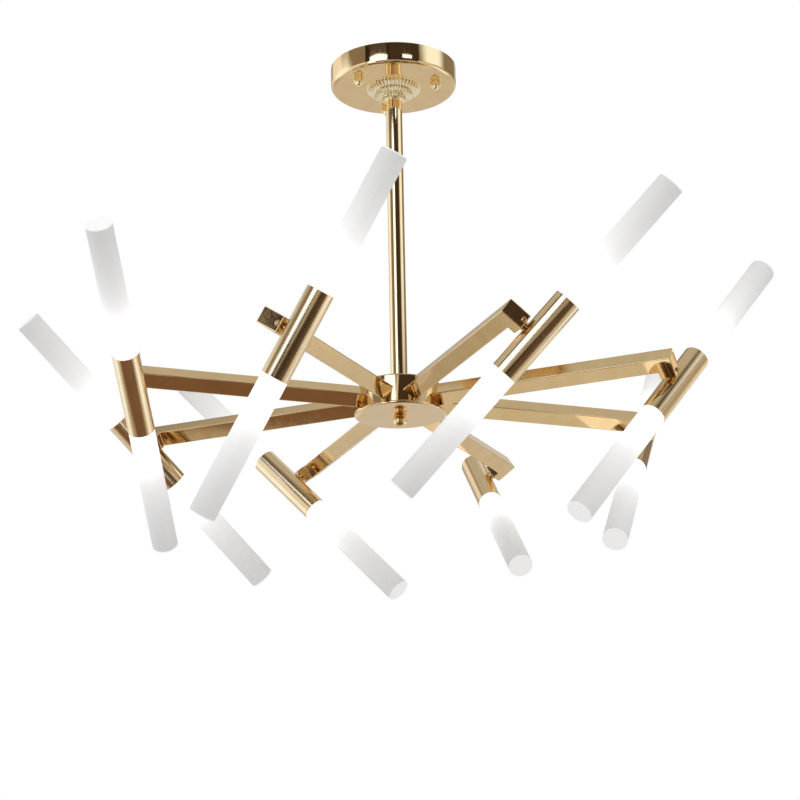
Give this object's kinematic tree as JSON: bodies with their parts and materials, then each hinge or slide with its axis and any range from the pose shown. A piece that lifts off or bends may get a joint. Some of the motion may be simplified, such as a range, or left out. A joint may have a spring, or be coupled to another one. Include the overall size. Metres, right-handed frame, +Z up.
{
  "type": "multi arm chandelier",
  "caption": "Hanging chandelier with square radial arms round a drum hub, each ending in a swivelling lamp head that holds two frosted light rods.",
  "frame": {"origin": "on the ceiling plane, midway between the two ceiling screw holes, at the centre of the canopy", "axes": "+Z up out of the ceiling bracket, +X along the ceiling bracket's crossbar, the stem hangs down along -Z"},
  "size_m": [0.8809, 0.8413, 0.6171],
  "materials": {
    "polished_gold": "mirror polished light gold plating",
    "satin_gold": "brushed light gold",
    "pin_gold": "turned gold",
    "zinc_steel": "zinc plated",
    "frosted_acrylic": "frosted white, lit near the holder",
    "lamp_ceramic": "glazed ceramic socket and bulb",
    "lead_sleeve": "insulated leads"
  },
  "bodies": {
    "frame": {"ceiling_bracket": "zinc_steel", "canopy": "polished_gold", "canopy_nuts": "polished_gold", "stem_collar": "polished_gold", "stem_tube": "polished_gold", "hub_rod": "zinc_steel", "hub_shell": "polished_gold", "hub_disc": "polished_gold", "finial_nut": "polished_gold", "lock_nuts": "zinc_steel", "set_screws": "polished_gold", "wiring": "lead_sleeve", "arm_1": "polished_gold", "arm_2": "polished_gold", "arm_3": "polished_gold", "arm_4": "polished_gold", "arm_5": "polished_gold", "arm_6": "polished_gold", "arm_7": "polished_gold", "arm_8": "polished_gold"},
    "lamp_1": {"lamp_holder_1": "satin_gold", "swivel_pin_1": "pin_gold", "upper_rod_1": "frosted_acrylic", "lower_rod_1": "frosted_acrylic", "light_units_1": "lamp_ceramic"},
    "lamp_2": {"lamp_holder_2": "satin_gold", "swivel_pin_2": "pin_gold", "upper_rod_2": "frosted_acrylic", "lower_rod_2": "frosted_acrylic", "light_units_2": "lamp_ceramic"},
    "lamp_3": {"lamp_holder_3": "satin_gold", "swivel_pin_3": "pin_gold", "upper_rod_3": "frosted_acrylic", "lower_rod_3": "frosted_acrylic", "light_units_3": "lamp_ceramic"},
    "lamp_4": {"lamp_holder_4": "satin_gold", "swivel_pin_4": "pin_gold", "upper_rod_4": "frosted_acrylic", "lower_rod_4": "frosted_acrylic", "light_units_4": "lamp_ceramic"},
    "lamp_5": {"lamp_holder_5": "satin_gold", "swivel_pin_5": "pin_gold", "upper_rod_5": "frosted_acrylic", "lower_rod_5": "frosted_acrylic", "light_units_5": "lamp_ceramic"},
    "lamp_6": {"lamp_holder_6": "satin_gold", "swivel_pin_6": "pin_gold", "upper_rod_6": "frosted_acrylic", "lower_rod_6": "frosted_acrylic", "light_units_6": "lamp_ceramic"},
    "lamp_7": {"lamp_holder_7": "satin_gold", "swivel_pin_7": "pin_gold", "upper_rod_7": "frosted_acrylic", "lower_rod_7": "frosted_acrylic", "light_units_7": "lamp_ceramic"},
    "lamp_8": {"lamp_holder_8": "satin_gold", "swivel_pin_8": "pin_gold", "upper_rod_8": "frosted_acrylic", "lower_rod_8": "frosted_acrylic", "light_units_8": "lamp_ceramic"}
  },
  "joints": [
    {"name": "lamp_1_swivel", "type": "hinge", "parent": "frame", "child": "lamp_1", "pos_m": [0.2846, 0.1491, -0.43758], "axis": [-0.3016, 0.728, -0.6157], "range_deg": [-192, 138]},
    {"name": "lamp_2_swivel", "type": "hinge", "parent": "frame", "child": "lamp_2", "pos_m": [0.09443, 0.30725, -0.43552], "axis": [-0.7659, 0.3173, -0.5592], "range_deg": [-200, 130]},
    {"name": "lamp_3_swivel", "type": "hinge", "parent": "frame", "child": "lamp_3", "pos_m": [-0.14982, 0.28431, -0.43656], "axis": [-0.7474, -0.3096, -0.5878], "range_deg": [-192, 138]},
    {"name": "lamp_4_swivel", "type": "hinge", "parent": "frame", "child": "lamp_4", "pos_m": [-0.30572, 0.09814, -0.44047], "axis": [-0.2753, -0.6646, -0.6947], "range_deg": [-189, 141]},
    {"name": "lamp_5_swivel", "type": "hinge", "parent": "frame", "child": "lamp_5", "pos_m": [-0.28609, -0.14552, -0.44182], "axis": [0.261, -0.6301, -0.7314], "range_deg": [-186, 144]},
    {"name": "lamp_6_swivel", "type": "hinge", "parent": "frame", "child": "lamp_6", "pos_m": [-0.09443, -0.30725, -0.43552], "axis": [0.7659, -0.3173, -0.5592], "range_deg": [-168, 162]},
    {"name": "lamp_7_swivel", "type": "hinge", "parent": "frame", "child": "lamp_7", "pos_m": [0.1491, -0.2846, -0.43758], "axis": [0.728, 0.3016, -0.6157], "range_deg": [-192, 138]},
    {"name": "lamp_8_swivel", "type": "hinge", "parent": "frame", "child": "lamp_8", "pos_m": [0.30712, -0.09476, -0.43604], "axis": [0.3135, 0.7568, -0.5736], "range_deg": [-187, 143]}
  ]
}
